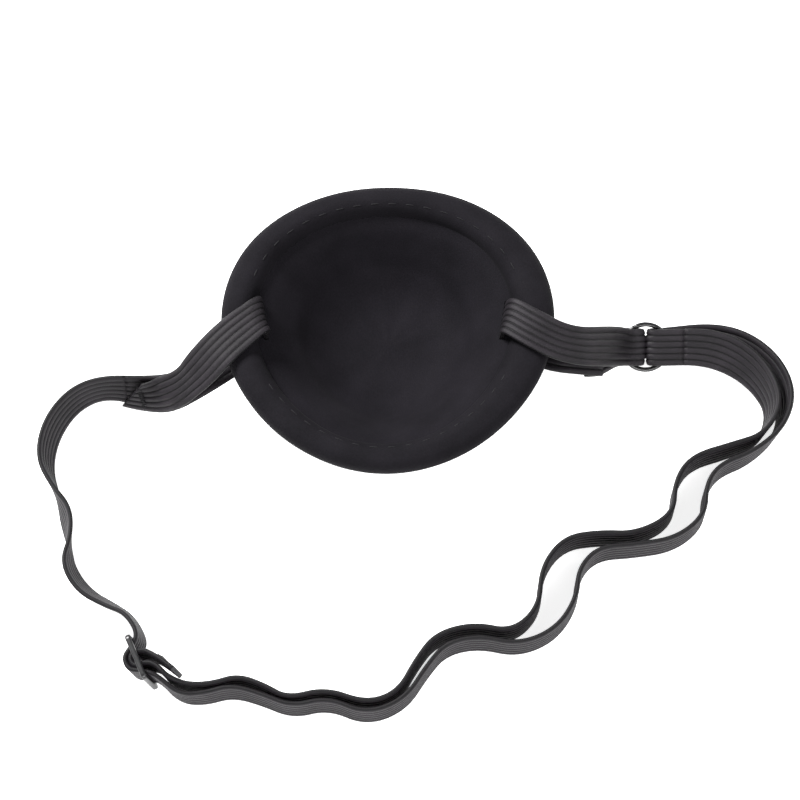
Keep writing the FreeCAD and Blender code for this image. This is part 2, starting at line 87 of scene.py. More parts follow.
# The patch's outline as a radius over the angle from +X, and how far inside it the lining's seam lies.
MEAN_RADIUS = 39.3 * MM
SEAM_INSET = 8.45 * MM
SEAM_HEIGHT = 19.5 * MM
DOME_SHIFT = 2.0 * MM
AROUND = 288

# The dish's inner surface from the seam to the floor: the share of the seam's radius across and along,
# the height, and the way outwards through the layers, as its level and downward parts.
DISH = [
    (1.00, 1.00, 0.0195, 1.00, 0.00),
    (0.87, 0.90, 0.0173, 0.72, 0.69),
    (0.71, 0.77, 0.0126, 0.88, 0.47),
    (0.60, 0.64, 0.0080, 0.85, 0.53),
    (0.44, 0.46, 0.0047, 0.50, 0.87),
    (0.20, 0.20, 0.0036, 0.00, 1.00),
    (0.00, 0.00, 0.0036, 0.00, 1.00),
]
# Where the stitches lie between the outline and the seam, and the distance from one to the next.
STITCH_PLACE = 0.74
STITCH_PITCH = 4.4 * MM
LINING_THICK = 0.5 * MM
SHELL_THICK = 3.6 * MM

# ------------------------------------------------------------------ routes

# The middle line's points, and the lean of the standing band in degrees: at a positive lean its top
# edge leans to the left of the way it runs.
LEFT_RUN = [
    (-0.0704, -0.0092, 0.0052, -10), (-0.078, -0.0126, 0.0051, -14), (-0.0832, -0.0204, 0.0051, -18),
    (-0.0846, -0.0295, 0.0051, -16), (-0.0814, -0.037, 0.0051, -4), (-0.0784, -0.0432, 0.0051, 20),
    (-0.0772, -0.05, 0.0051, 8), (-0.0774, -0.0565, 0.0051, -16), (-0.0732, -0.0628, 0.0051, -22),
    (-0.0666, -0.0664, 0.0053, -20), (-0.0618, -0.0694, 0.0064, -12),
]
OUTER_RUN = [
    (-0.0492, -0.0894, 0.0058, -4), (-0.0435, -0.0894, 0.0052, 0), (-0.037, -0.0874, 0.0051, 0),
    (-0.03, -0.0894, 0.0051, 0), (-0.0225, -0.0926, 0.0051, 0), (-0.014, -0.0904, 0.0051, 0),
    (-0.005, -0.0944, 0.0051, 0), (0.0042, -0.0908, 0.0051, 0), (0.0096, -0.0822, 0.0051, 0),
    (0.014, -0.077, 0.0051, 0), (0.022, -0.0752, 0.0051, 0), (0.0314, -0.0774, 0.0051, 0),
    (0.0404, -0.0734, 0.0051, 0), (0.0454, -0.0656, 0.0051, 0), (0.046, -0.0582, 0.0051, 0),
    (0.051, -0.0528, 0.0051, 0), (0.06, -0.0522, 0.0051, 0), (0.0698, -0.0506, 0.0051, 0),
    (0.077, -0.0446, 0.0051, 0), (0.0776, -0.0366, 0.0051, 0), (0.0812, -0.0314, 0.0051, 0),
    (0.0892, -0.0282, 0.0051, -2), (0.0968, -0.0214, 0.0052, -8), (0.099, -0.0128, 0.0052, -18),
    (0.0958, -0.0048, 0.0049, -30), (0.089, 0.0012, 0.0043, -44), (0.0804, 0.0036, 0.0037, -56),
]
INNER_RUN = [
    (0.0796, 0.0012, 0.0059, 56), (0.0874, -0.002, 0.0057, 44), (0.0932, -0.0078, 0.0054, 30),
    (0.096, -0.0152, 0.0052, 16), (0.0922, -0.0232, 0.0051, 6), (0.0844, -0.0262, 0.0051, 0),
    (0.0742, -0.0294, 0.0051, 0), (0.07, -0.0358, 0.0051, 0), (0.0694, -0.0444, 0.0051, 0),
    (0.0602, -0.0494, 0.0051, 0), (0.0514, -0.049, 0.0051, 0), (0.0426, -0.0504, 0.0051, 0),
    (0.037, -0.058, 0.0051, 0), (0.0364, -0.0678, 0.0051, 0), (0.0298, -0.0742, 0.0051, 0),
    (0.0208, -0.0722, 0.0051, 0), (0.0116, -0.0746, 0.0051, 0), (0.0068, -0.081, 0.0051, 0),
    (0.0026, -0.089, 0.0051, 0), (-0.005, -0.0918, 0.0051, 0), (-0.0146, -0.0882, 0.0051, 0),
    (-0.0236, -0.0906, 0.0051, 0), (-0.029, -0.0874, 0.0051, 0), (-0.0355, -0.085, 0.0051, 0),
    (-0.0415, -0.087, 0.0052, 0), (-0.0474, -0.087, 0.0058, 4),
]
# The loops through the slots: the middle line's points, and the way across the band.
LEFT_LOOP = [
    ((-0.0634, -0.0121, 0.0064), (0.0, 0.21, 0.98)), ((-0.0576, -0.0136, 0.0084), (0.0, 0.5, 0.87)),
    ((-0.051, -0.0138, 0.0142), (0.0, 0.94, 0.34)), ((-0.046, -0.0114, 0.0206), (-0.55, 0.83, 0.1)),
    ((-0.041, -0.007, 0.0242), (-0.6, 0.8, 0.0)), ((-0.0358, -0.0022, 0.0248), (-0.6, 0.8, 0.0)),
    ((-0.0304, 0.0025, 0.0242), (-0.2, 0.98, 0.0)), ((-0.0306, 0.0028, 0.0194), (-0.17, 0.98, 0.0)),
    ((-0.0306, 0.0028, 0.0152), (-0.17, 0.98, 0.0)), ((-0.0326, 0.0008, 0.0124), (-0.4, 0.92, 0.0)),
    ((-0.0376, -0.004, 0.0132), (-0.6, 0.8, 0.0)), ((-0.0424, -0.0084, 0.0154), (-0.6, 0.8, 0.0)),
    ((-0.0474, -0.012, 0.0162), (-0.55, 0.83, 0.1)), ((-0.0526, -0.0134, 0.011), (0.0, 0.94, 0.34)),
    ((-0.059, -0.0114, 0.0064), (0.0, 0.5, 0.87)),
]
ANCHOR_OUT = [
    ((0.0526, -0.004, 0.012), (0.0, 0.96, 0.28)), ((0.0466, -0.0056, 0.0162), (0.2, 0.97, 0.1)),
    ((0.0404, -0.0046, 0.0156), (0.35, 0.93, 0.0)), ((0.0344, -0.0008, 0.013), (0.4, 0.9, 0.0)),
    ((0.0302, 0.0022, 0.0122), (0.25, 0.96, 0.0)), ((0.0286, 0.0028, 0.0152), (0.17, 0.98, 0.0)),
    ((0.0286, 0.0028, 0.0196), (0.17, 0.98, 0.0)), ((0.0296, 0.0022, 0.0234), (0.3, 0.95, 0.0)),
    ((0.0346, -0.0016, 0.0248), (0.45, 0.89, 0.0)), ((0.041, -0.005, 0.0242), (0.3, 0.95, 0.0)),
    ((0.047, -0.0054, 0.0214), (0.05, 0.99, 0.1)), ((0.053, -0.0028, 0.0154), (-0.1, 0.95, 0.3)),
    ((0.0576, -0.0002, 0.0094), (-0.05, 0.9, 0.43)),
]
ANCHOR_RETURN = [
    ((0.0572, 0.0022, 0.0036), (0.0, 0.87, 0.5)), ((0.0536, -0.0014, 0.0074), (0.0, 0.93, 0.37)),
    ((0.0516, -0.0034, 0.01), (0.0, 0.96, 0.28)), ((0.0484, -0.0046, 0.0126), (0.1, 0.96, 0.2)),
]
# The way through the slide: along it, and off its plane towards the inside of the strap's loop.
WEAVE = [
    (-0.0054, 0.0024), (-0.0031, -0.0004), (-0.0016, -0.00295),
    (0.0016, -0.00295), (0.0031, -0.0004), (0.0053, 0.0024),
]
END_TAIL = [(0.0064, 0.0044), (0.0034, 0.0036)]
END_RETURN = [(0.0004, 0.0035), (0.003, 0.0053), (0.006, 0.0068)]


# ------------------------------------------------------------------ camera and lights

def add_camera():
    """The view from the strap's side, steeply down."""
    elevation = math.radians(68)
    distance = 0.700
    target = Vector((0.0030, -0.0108, 0.0))
    data = bpy.data.cameras.new("camera")
    data.lens = 126
    data.sensor_width = 36
    data.clip_start = 0.01
    data.clip_end = 20
    camera = bpy.data.objects.new("camera", data)
    camera.location = target + Vector((0, -math.cos(elevation), math.sin(elevation))) * distance
    camera.rotation_euler = (math.pi / 2 - elevation, 0, 0)
    bpy.context.collection.objects.link(camera)
    bpy.context.scene.camera = camera


def add_light(name, place, aim, width, power):
    """A soft square light that looks from its place to its aim."""
    data = bpy.data.lights.new(name, "AREA")
    data.shape = "SQUARE"
    data.size = width
    data.energy = power
    light = bpy.data.objects.new(name, data)
    light.location = place
    light.rotation_euler = (Vector(aim) - Vector(place)).to_track_quat("-Z", "Y").to_euler()
    bpy.context.collection.objects.link(light)


def add_studio():
    """A pale floor, pale surroundings and soft lights."""
    world = bpy.data.worlds.new("studio")
    world.use_nodes = True
    world.node_tree.nodes["Background"].inputs["Color"].default_value = (1, 1, 1, 1)
    world.node_tree.nodes["Background"].inputs["Strength"].default_value = 0.45
    bpy.context.scene.world = world
    bpy.context.scene.view_settings.view_transform = "Standard"
    middle = (0.0, -0.03, 0.0)
    add_light("key_light", (-0.60, 0.52, 0.72), middle, 0.40, 26)
    add_light("fill_light", (0.80, -0.10, 0.70), middle, 0.60, 5)
    add_light("front_light", (0.10, -0.90, 0.50), middle, 0.50, 8)
    mesh = bpy.data.meshes.new("floor")
    half = 3.0
    corners = [(-half, -half, 0), (half, -half, 0), (half, half, 0), (-half, half, 0)]
    mesh.from_pydata(corners, [], [(0, 1, 2, 3)])
    floor = bpy.data.objects.new("floor", mesh)
    bpy.context.collection.objects.link(floor)
    surface = bpy.data.materials.new("floor_pale")
    surface.use_nodes = True
    shader = surface.node_tree.nodes["Principled BSDF"]
    shader.inputs["Base Color"].default_value = (0.93, 0.93, 0.93, 1)
    shader.inputs["Roughness"].default_value = 0.7
    shader.inputs["Emission Color"].default_value = (1, 1, 1, 1)
    shader.inputs["Emission Strength"].default_value = 0.75
    floor.data.materials.append(surface)


# ------------------------------------------------------------------ materials

def new_surface(name, roughness, sheen=0.0, specular=0.5):
    """A material with a Principled shader; returns it, its nodes, its links and the shader."""
    surface = bpy.data.materials.new(name)
    surface.use_nodes = True
    tree = surface.node_tree
    shader = tree.nodes["Principled BSDF"]
    shader.inputs["Roughness"].default_value = roughness
    shader.inputs["Sheen Weight"].default_value = sheen
    shader.inputs["Sheen Roughness"].default_value = 0.5
    shader.inputs["Specular IOR Level"].default_value = specular
    return surface, tree.nodes, tree.links, shader


def noise(nodes, links, place, scale, detail=2.0, roughness=0.5):
    """A noise texture over a place, from 0 to 1."""
    node = nodes.new("ShaderNodeTexNoise")
    node.inputs["Scale"].default_value = scale
    node.inputs["Detail"].default_value = detail
    node.inputs["Roughness"].default_value = roughness
    links.new(place, node.inputs["Vector"])
    return node.outputs["Fac"]


def calculate(nodes, links, operation, first, second=None, third=None):
    """One step of arithmetic on numbers or other nodes' outputs."""
    node = nodes.new("ShaderNodeMath")
    node.operation = operation
    for socket, value in zip(node.inputs, (first, second, third)):
        if value is None:
            continue
        if isinstance(value, (int, float)):
            socket.default_value = value
        else:
            links.new(value, socket)
    return node.outputs["Value"]


def shade_between(nodes, links, share, dark, light):
    """A colour that runs from dark to light as share goes over the middle of its range."""
    ramp = nodes.new("ShaderNodeValToRGB")
    ramp.color_ramp.elements[0].position = 0.30
    ramp.color_ramp.elements[0].color = (*dark, 1)
    ramp.color_ramp.elements[1].position = 0.70
    ramp.color_ramp.elements[1].color = (*light, 1)
    links.new(share, ramp.inputs["Fac"])
    return ramp.outputs["Color"]


def bump(nodes, links, height, distance, strength, below=None):
    """The normal of a bumpy surface, on top of another one's if given."""
    node = nodes.new("ShaderNodeBump")
    node.inputs["Distance"].default_value = distance
    node.inputs["Strength"].default_value = strength
    links.new(height, node.inputs["Height"])
    if below is not None:
        links.new(below, node.inputs["Normal"])
    return node.outputs["Normal"]


def knit_surface(name, dark, light, roughness):
    """Fine matt knit: small loops in rows, a fuzz of finer fibres, and slight unevenness of the dye."""
    surface, nodes, links, shader = new_surface(name, roughness, 0.01, 0.10)
    place = nodes.new("ShaderNodeTexCoord").outputs["Object"]
    uneven = noise(nodes, links, place, 90, 3)
    fibres = noise(nodes, links, place, 2600, 3, 0.7)
    faded = calculate(nodes, links, "MULTIPLY", uneven, 0.55)
    share = calculate(nodes, links, "MULTIPLY_ADD", fibres, 0.45, faded)
    links.new(shade_between(nodes, links, share, dark, light), shader.inputs["Base Color"])
    loops = nodes.new("ShaderNodeTexVoronoi")
    loops.inputs["Scale"].default_value = 2300
    loops.inputs["Randomness"].default_value = 0.55
    links.new(place, loops.inputs["Vector"])
    coarse = bump(nodes, links, loops.outputs["Distance"], 0.05 * MM, 0.45)
    links.new(bump(nodes, links, fibres, 0.03 * MM, 0.5, coarse), shader.inputs["Normal"])
    return surface


def elastic_surface():
    """Woven elastic: fine picks across the band, lengthwise yarns, and painted shade that darkens the grooves
    between its ribs.
    """
    surface, nodes, links, shader = new_surface("woven_elastic", 0.55, 0.01, 0.22)
    along = nodes.new("ShaderNodeAttribute")
    along.attribute_name = "along"
    across = nodes.new("ShaderNodeAttribute")
    across.attribute_name = "across"
    place = nodes.new("ShaderNodeCombineXYZ")
    links.new(along.outputs["Fac"], place.inputs["X"])
    links.new(across.outputs["Fac"], place.inputs["Y"])
    along_turn = calculate(nodes, links, "MULTIPLY", along.outputs["Fac"], 2 * math.pi / PICK_PITCH)
    across_turn = calculate(nodes, links, "MULTIPLY", across.outputs["Fac"], 2 * math.pi / YARN_PITCH)
    picks = calculate(nodes, links, "SINE", along_turn)
    yarns = calculate(nodes, links, "SINE", across_turn)
    weave = calculate(nodes, links, "MULTIPLY", picks, yarns)
    fibres = noise(nodes, links, place.outputs["Vector"], 3200, 3, 0.7)
    uneven = noise(nodes, links, place.outputs["Vector"], 140, 3)
    faded = calculate(nodes, links, "MULTIPLY", uneven, 0.5)
    share = calculate(nodes, links, "MULTIPLY_ADD", fibres, 0.5, faded)
    # Painted shade: the colour darkens along the grooves between the ribs, where shade falls in the recesses.
    rib_turn = calculate(nodes, links, "MULTIPLY", across.outputs["Fac"], 2 * math.pi * RIBS / STRAP_WIDE)
    wave = calculate(nodes, links, "MAXIMUM", calculate(nodes, links, "COSINE", rib_turn), 0.0)
    groove_shade = calculate(nodes, links, "POWER", wave, 4.0)
    share = calculate(nodes, links, "MULTIPLY_ADD", groove_shade, -0.5, share)
    colour = shade_between(nodes, links, share, (0.0026, 0.0021, 0.0030), (0.0175, 0.0142, 0.0185))
    links.new(colour, shader.inputs["Base Color"])
    coarse = bump(nodes, links, weave, 0.035 * MM, 0.6)
    links.new(bump(nodes, links, fibres, 0.03 * MM, 0.5, coarse), shader.inputs["Normal"])
    return surface


def plastic_surface(name, roughness):
    """Black moulded plastic: faint flow marks, and fine scuffs that vary the gloss."""
    surface, nodes, links, shader = new_surface(name, roughness)
    place = nodes.new("ShaderNodeTexCoord").outputs["Object"]
    scuffs = noise(nodes, links, place, 900, 4, 0.65)
    colour = shade_between(nodes, links, scuffs, (0.0035, 0.0035, 0.0040), (0.0090, 0.0090, 0.0100))
    links.new(colour, shader.inputs["Base Color"])
    rough = calculate(nodes, links, "MULTIPLY_ADD", scuffs, 0.18, roughness - 0.09)
    links.new(rough, shader.inputs["Roughness"])
    links.new(bump(nodes, links, scuffs, 0.02 * MM, 0.25), shader.inputs["Normal"])
    return surface


def thread_surface():
    """Twisted polyester thread, a little glossier than the cloth round it."""
    surface, nodes, links, shader = new_surface("sewing_thread", 0.6, 0.0, 0.15)
    place = nodes.new("ShaderNodeTexCoord").outputs["Object"]
    fibres = noise(nodes, links, place, 4200, 2, 0.6)
    colour = shade_between(nodes, links, fibres, (0.0050, 0.0048, 0.0058), (0.0140, 0.0130, 0.0150))
    links.new(colour, shader.inputs["Base Color"])
    links.new(bump(nodes, links, fibres, 0.03 * MM, 0.5), shader.inputs["Normal"])
    return surface


# ------------------------------------------------------------------ mesh helpers

def add_object(name, vertices, faces, surface, smooth=True):
    """An object of these faces, in the scene, with its material."""
    mesh = bpy.data.meshes.new(name)
    mesh.from_pydata([tuple(vertex) for vertex in vertices], [], faces)
    mesh.validate()
    mesh.polygons.foreach_set("use_smooth", [smooth] * len(mesh.polygons))
    mesh.materials.append(surface)
    piece = bpy.data.objects.new(name, mesh)
    bpy.context.collection.objects.link(piece)
    return piece


def outward(piece):
    """Turns every face of a closed mesh outwards."""
    grid = bmesh.new()
    grid.from_mesh(piece.data)
    bmesh.ops.recalc_face_normals(grid, faces=grid.faces)
    grid.to_mesh(piece.data)
    grid.free()


def rolled_grid(rows, columns, closed_rows):
    """The four-sided faces of a grid whose columns close on themselves, and its rows too if asked."""
    last = rows if closed_rows else rows - 1
    return [(row * columns + column, row * columns + (column + 1) % columns,
             (row + 1) % rows * columns + (column + 1) % columns, (row + 1) % rows * columns + column)
            for row in range(last) for column in range(columns)]


def smooth_table(table, shares):
    """A smooth curve through a table's rows, read at shares from 0 to 1 of the way down it."""
    rows = np.array(table, float)
    count = len(rows)
    slopes = np.gradient(rows, axis=0)
    position = np.clip(np.array(shares, float) * (count - 1), 0, count - 1 - 1e-9)
    index = position.astype(int)
    part = (position - index)[:, None]
    first, second = rows[index], rows[index + 1]
    rise, fall = slopes[index], slopes[index + 1]
    return ((2 * part ** 3 - 3 * part ** 2 + 1) * first + (part ** 3 - 2 * part ** 2 + part) * rise
            + (3 * part ** 2 - 2 * part ** 3) * second + (part ** 3 - part ** 2) * fall)


# ------------------------------------------------------------------ the strap

def spline_points(points):
    """Points along the smooth line that has these control points."""
    curve = bpy.data.curves.new("route", "CURVE")
    curve.dimensions = "3D"
    spline = curve.splines.new("NURBS")
    spline.points.add(len(points) - 1)
    for target, point in zip(spline.points, points):
        target.co = (*point, 1)
    spline.order_u = 3
    spline.use_endpoint_u = True
    spline.resolution_u = SPAN_STEPS
    route = bpy.data.objects.new("route", curve)
    mesh = bpy.data.meshes.new_from_object(route)
    found = np.array([vertex.co for vertex in mesh.vertices], float)
    bpy.data.meshes.remove(mesh)
    bpy.data.objects.remove(route)
    bpy.data.curves.remove(curve)
    return found


def band_section():
    """The band's ribbed section, as offsets across it and off its face, round once."""
    half = STRAP_WIDE / 2
    rib = STRAP_WIDE / RIBS
    edge = STRAP_THICK / 2
    stations = []
    for index in range(RIBS):
        left = -half + index * rib
        for share in (0.0, 0.07, 0.14, 0.28, 0.5, 0.72, 0.86, 0.93):
            place = left + share * rib
            if abs(place) < half - edge:
                stations.append(place)

    def height(place):
        from_groove = min(abs(place + half - index * rib) for index in range(1, RIBS))
        return edge - GROOVE_DEEP * math.exp(-(from_groove / GROOVE_WIDE) ** 2)

    top = [(place, height(place)) for place in stations]
    turn = [math.pi / 2 * (1 - 2 * step / (EDGE_STEPS + 1)) for step in range(1, EDGE_STEPS + 1)]
    right = [(half - edge + edge * math.cos(angle), edge * math.sin(angle)) for angle in turn]
    bottom = [(place, -off) for place, off in reversed(top)]
    left = [(-place, -off) for place, off in right]
    return np.array(top + right + bottom + left)


def band(name, route, surface, start_skew=0.0):
    """A ribbed elastic band along a route of (point, across) pairs, and the points that it follows.

    A start skew slants its first cut end, and fades out over one width of the band.
    """
    points = np.array([point for point, _ in route], float)
    ways = np.array([across for _, across in route], float)
    middle = spline_points(points)
    across = (spline_points(points + ways * STRAP_WIDE) - middle) / STRAP_WIDE
    run = np.gradient(middle, axis=0)
    run /= np.linalg.norm(run, axis=1)[:, None]
    across -= run * np.sum(across * run, axis=1)[:, None]
    width = np.clip(np.linalg.norm(across, axis=1), GATHER, 1.0)
    across /= np.linalg.norm(across, axis=1)[:, None]
    out = np.cross(run, across)
    travelled = np.concatenate([[0], np.cumsum(np.linalg.norm(np.diff(middle, axis=0), axis=1))])
    section = band_section()
    count = len(section)
    skew = start_skew * np.clip(1 - travelled / STRAP_WIDE, 0, 1)
    vertices = (middle[:, None, :] + across[:, None, :] * (section[None, :, 0:1] * width[:, None, None])
                + out[:, None, :] * section[None, :, 1:2]
                + run[:, None, :] * (section[None, :, 0:1] * skew[:, None, None])).reshape(-1, 3)
    faces = rolled_grid(len(middle), count, False)
    faces.append(tuple(range(count)))
    faces.append(tuple(reversed(range((len(middle) - 1) * count, len(middle) * count))))
    piece = add_object(name, vertices, faces, surface)
    for cap in (-1, -2):
        piece.data.polygons[cap].use_smooth = False
    outward(piece)
    places = {"along": np.repeat(travelled, count), "across": np.tile(section[:, 0], len(middle))}
    for label, values in places.items():
        attribute = piece.data.attributes.new(label, "FLOAT", "POINT")
        attribute.data.foreach_set("value", values.astype(np.float32))
    return piece, middle


def standing(run):
    """The (point, across) pairs of a run that stands on its edge, from its leans."""
    points = [Vector(row[:3]) for row in run]
    pairs = []
    for index, row in enumerate(run):
        behind = points[max(index - 1, 0)]
        ahead = points[min(index + 1, len(points) - 1)]
        heading = Vector((ahead.x - behind.x, ahead.y - behind.y, 0)).normalized()
        left = Vector((-heading.y, heading.x, 0))
        lean = math.radians(row[3])
        pairs.append((points[index], Vector((0, 0, 1)) * math.cos(lean) + left * math.sin(lean)))
    return pairs


def given(rows):
    """The (point, across) pairs of a table that holds both."""
    return [(Vector(point), Vector(across)) for point, across in rows]


def halfway(first, second):
    """Where two lengths of the strap meet: the middle of a straight run."""
    return (first[0] + second[0]) / 2, (first[1] + second[1]) / 2


def ring_frame():
    """The ring's upward way in its own plane, and its axis."""
    up = Vector((0, math.sin(RING_LEAN), math.cos(RING_LEAN)))
    return up, Vector((1, 0, 0)).cross(up)


def slide_frame():
    """The way along the strap through the slide, across it, and towards the inside of the loop."""
    along = Vector((math.cos(SLIDE_HEADING), math.sin(SLIDE_HEADING), 0))
    left = Vector((-along.y, along.x, 0))
    across = Vector((0, 0, 1)) * math.cos(SLIDE_LEAN) + left * math.sin(SLIDE_LEAN)
    return along, across, across.cross(along)


def by_slide(pairs):
    """The (point, across) pairs of places given along the slide and off its plane."""
    along, across, inside = slide_frame()
    return [(SLIDE_MIDDLE + along * run + inside * off, across) for run, off in pairs]


def ring_fold(side):
    """Control points of the fold round one side of the ring, the band gathered to pass through it."""
    up, normal = ring_frame()
    middle = RING_MIDDLE + Vector((side * FOLD_GAP, 0, 0))
    near = Vector((side * FOLD_RADIUS, 0, 0))
    below = -normal * (FOLD_RADIUS * side)
    across = up * GATHER
    return [(middle + below + near, across), (middle + below - near, across),
            (middle - below - near, across), (middle - below + near, across)]


def bar_turn():
    """Control points of the strap's end round the slide's middle bar."""
    reach = LOOP_RADIUS
    return by_slide([(reach, reach), (reach, -reach), (-reach, -reach), (-reach, 1.1 * reach)])


def meet_in_ring(piece, side):
    """Swells the middle of a fold's bend until it presses into the other fold inside the ring."""
    up, normal = ring_frame()
    for vertex in piece.data.vertices:
        away = vertex.co - RING_MIDDLE
        reach, level = away.x * side, abs(away.dot(normal))
        if -0.5 * MM < reach < FOLD_REACH and level < FOLD_REACH:
            share = away.dot(up) / (STRAP_WIDE / 2)
            bulge = FOLD_BULGE * math.exp(-(share / 0.66) ** 6) - 0.04 * MM
            fade = (1 - max(reach, 0) / FOLD_REACH) * (1 - level / FOLD_REACH)
            vertex.co.x -= side * bulge * fade


def make_straps(surface):
    """All lengths of elastic as one unbroken line, and the short anchor loop; returns them by name."""
    loop = given(LEFT_LOOP)
    left = standing(LEFT_RUN)
    weave = by_slide(WEAVE)
    outer = standing(OUTER_RUN)
    fold = ring_fold(1)
    inner = standing(INNER_RUN)
    leaving = halfway(loop[-1], left[0])
    in_slide = halfway(weave[2], weave[3])
    in_ring = halfway(fold[-1], inner[0])
    routes = {
        "left_loop_band": loop + [leaving],
        "strap_to_slide": [leaving] + left + weave[:3] + [in_slide],
        "strap_outer": [in_slide] + weave[3:] + outer + fold + [in_ring],
        "strap_inner": [in_ring] + inner + by_slide(END_TAIL) + bar_turn() + by_slide(END_RETURN),
        "anchor_band": given(ANCHOR_OUT) + ring_fold(-1) + given(ANCHOR_RETURN),
    }
    skews = {"left_loop_band": 0.9}
    bands = {name: band(name, route, surface, skews.get(name, 0.0)) for name, route in routes.items()}
    meet_in_ring(bands["strap_outer"][0], 1)
    meet_in_ring(bands["anchor_band"][0], -1)
    return bands


def dress_straps(bands):
    """Hides the CAD solids that each band stands for, and bakes each band's placement into its mesh."""
    stands_for = {
        "left_loop_band": ["left_slot_loop"],
        "strap_to_slide": ["strap_left_run"],
        "strap_outer": ["strap_outer_layer", "strap_slide_weave"],
        "strap_inner": ["strap_inner_layer", "strap_end_loop"],
        "anchor_band": ["anchor_loop"],
    }
    for name, nodes in stands_for.items():
        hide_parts(*nodes)
    at_left_slot(bands["left_loop_band"][0])
    at_right_slot(bands["anchor_band"][0])
    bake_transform(bands["strap_to_slide"][0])
    for name in ("strap_outer", "strap_inner"):
        before_slide(bands[name][0])


def at_left_slot(piece):
    """Bakes a piece's placement into its mesh, for the elastic where it leaves the left slot."""
    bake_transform(piece)


def at_right_slot(piece):
    """Bakes a piece's placement into its mesh, for the elastic where it leaves the right slot."""
    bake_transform(piece)


def before_slide(piece):
    """Bakes a piece's placement into its mesh, for the two layers of elastic beside the slide."""
    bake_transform(piece)


# ------------------------------------------------------------------ ring and slide

def make_ring(surface):
    """The round ring of coated wire, with the fine joint where its ends meet."""
    up, normal = ring_frame()
    side = Vector((1, 0, 0))
    steps, wire_steps = 120, 20
    joint = math.radians(118)
    vertices = []
    for step in range(steps):
        angle = 2 * math.pi * step / steps
        away = (angle - joint + math.pi) % (2 * math.pi) - math.pi
        wire = RING_WIRE * (1 - 0.16 * math.exp(-(away / math.radians(2.2)) ** 2))
        out = side * math.cos(angle) + up * math.sin(angle)
        for turn in range(wire_steps):
            swing = 2 * math.pi * turn / wire_steps
            reach = RING_RADIUS + wire * math.cos(swing)
            vertices.append(RING_MIDDLE + out * reach + normal * (wire * math.sin(swing)))
    piece = add_object("round_ring", vertices, rolled_grid(steps, wire_steps, True), surface)
    outward(piece)
    return piece


def make_slide(surface):
    """The adjusting slide: a rounded plate with two windows, softened all over."""
    half_long, half_wide, half_thick = SLIDE_LONG / 2, SLIDE_WIDE / 2, SLIDE_BAR / 2
    xs = (-half_long, -half_long + SLIDE_BAR, -half_thick, half_thick, half_long - SLIDE_BAR, half_long)
    ys = (-half_wide, -half_wide + SLIDE_BAR, half_wide - SLIDE_BAR, half_wide)
    grid = bmesh.new()
    layers = [[[grid.verts.new((x, y, z)) for y in ys] for x in xs] for z in (-half_thick, half_thick)]
    windows = {(1, 1), (3, 1)}
    for column in range(5):
        for row in range(3):
            if (column, row) in windows:
                continue
            for layer in layers:
                grid.faces.new([layer[column][row], layer[column + 1][row],
                                layer[column + 1][row + 1], layer[column][row + 1]])
    low, high = layers
    rims = [edge for edge in grid.edges if len(edge.link_faces) == 1 and edge.verts[0].co.z < 0]
    match = {vertex: high[column][row] for column, line in enumerate(low) for row, vertex in enumerate(line)}
    for edge in rims:
        first, second = edge.verts
        grid.faces.new([first, second, match[second], match[first]])
    bmesh.ops.recalc_face_normals(grid, faces=grid.faces)
    corners = [edge for edge in grid.edges if abs(edge.verts[0].co.z - edge.verts[1].co.z) > half_thick
               and abs(edge.verts[0].co.x) > half_long - 1e-6 and abs(edge.verts[0].co.y) > half_wide - 1e-6]
    bmesh.ops.bevel(grid, geom=corners, offset=1.2 * MM, segments=6, profile=0.5, affect="EDGES")
    sharp = [edge for edge in grid.edges
             if len(edge.link_faces) == 2 and edge.calc_face_angle() > math.radians(40)]
    bmesh.ops.bevel(grid, geom=sharp, offset=0.36 * MM, segments=4, profile=0.5, affect="EDGES")
    mesh = bpy.data.meshes.new("adjusting_slide")
    grid.to_mesh(mesh)
    grid.free()
    along, across, _ = slide_frame()
    third = along.cross(across)
    turned = [SLIDE_MIDDLE + along * v.co.x + across * v.co.y + third * v.co.z for v in mesh.vertices]
    for vertex, place in zip(mesh.vertices, turned):
        vertex.co = place
    mesh.polygons.foreach_set("use_smooth", [True] * len(mesh.polygons))
    mesh.materials.append(surface)
    piece = bpy.data.objects.new("adjusting_slide", mesh)
    bpy.context.collection.objects.link(piece)
    return piece


# ------------------------------------------------------------------ thread

def thread_run(points, radius, sides=8):
    """The rounded tube of one stitch through its points: vertices and faces."""
    line = np.array(points, float)
    run = np.gradient(line, axis=0)
    run /= np.linalg.norm(run, axis=1)[:, None]
    side = np.cross(run, [0.31, 0.17, 0.93])
    side /= np.linalg.norm(side, axis=1)[:, None]
    other = np.cross(run, side)
    shares = np.linspace(-1, 1, len(line))
    swell = radius * np.sqrt(np.clip(1 - 0.92 * shares ** 6, 0.05, 1))
    angles = 2 * math.pi * np.arange(sides) / sides
    ring = (side[:, None, :] * np.cos(angles)[None, :, None]
            + other[:, None, :] * np.sin(angles)[None, :, None])
    vertices = (line[:, None, :] + ring * swell[:, None, None]).reshape(-1, 3)
    faces = rolled_grid(len(line), sides, False)
    faces.append(tuple(reversed(range(sides))))
    faces.append(tuple(range((len(line) - 1) * sides, len(line) * sides)))
    return vertices, faces


def sewn(name, runs, radius, surface):
    """One object of many stitches, each a line of points."""
    vertices, faces = [], []
    for run in runs:
        more, rings = thread_run(run, radius)
        faces += [tuple(index + len(vertices) for index in face) for face in rings]
        vertices += list(more)
    piece = add_object(name, vertices, faces, surface)
    outward(piece)
    return piece


